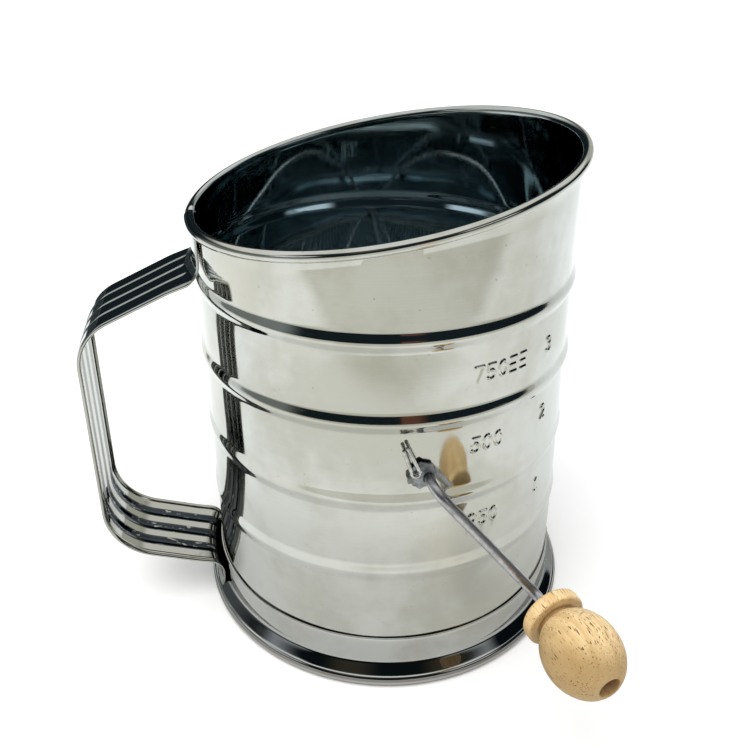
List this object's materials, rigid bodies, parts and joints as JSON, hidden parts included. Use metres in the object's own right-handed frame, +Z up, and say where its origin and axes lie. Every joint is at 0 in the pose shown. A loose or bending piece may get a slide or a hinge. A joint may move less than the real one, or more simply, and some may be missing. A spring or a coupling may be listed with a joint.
{
  "type": "flour sifter",
  "caption": "Hand-crank flour sifter: beaded steel cup with a slanted rim, screen bowl, wire agitator, ribbed strap handle and a bent wire crank with a turned wooden knob.",
  "frame": {"origin": "on the table plane, under the middle of the whole object's bounding box; the cup's own vertical axis stands at x = 16.01 mm, y = 20.60 mm", "axes": "+Z up along the cup's axis, -X towards the strap handle, -Y towards the crank, the slanted rim is high on the +X side"},
  "size_m": [0.1505, 0.1604, 0.1492],
  "materials": {
    "wall_steel": "mirror polished stainless sheet",
    "ring_steel": "polished stainless sheet",
    "strap_steel": "polished stainless strip, ribbed",
    "wire_cloth": "plain woven fine wire",
    "clamp_steel": "folded stainless strip",
    "crank_steel": "bright drawn wire",
    "agitator_steel": "bright drawn wire",
    "hub_steel": "turned steel",
    "washer_steel": "dull stamped steel",
    "pin_steel": "bright drawn wire",
    "turned_wood": "plain turned light wood, open pores"
  },
  "bodies": {
    "cup": {"body_shell": "wall_steel", "base_ring": "ring_steel", "handle": "strap_steel", "screen_bowl": "wire_cloth", "screen_clamp_ring": "clamp_steel"},
    "crank": {"crank_wire": "crank_steel", "star_washer": "washer_steel", "hub_split_pin": "pin_steel", "far_push_nut": "washer_steel", "agitator_hub_crank_side": "hub_steel", "agitator_hub_far_side": "hub_steel", "agitator_wire_1": "agitator_steel", "agitator_wire_2": "agitator_steel", "agitator_wire_3": "agitator_steel", "agitator_wire_4": "agitator_steel", "knob_washer": "washer_steel"},
    "knob": {"knob": "turned_wood"}
  },
  "joints": [
    {"name": "crank_spin", "type": "hinge", "parent": "cup", "child": "crank", "pos_m": [0.01601, 0.0206, 0.0721], "axis": [-0.0427, 0.9991, 0], "continuous": true},
    {"name": "knob_spin", "type": "hinge", "parent": "crank", "child": "knob", "pos_m": [0.04654, -0.05728, 0.04166], "axis": [0.2715, -0.9595, -0.075], "continuous": true}
  ]
}
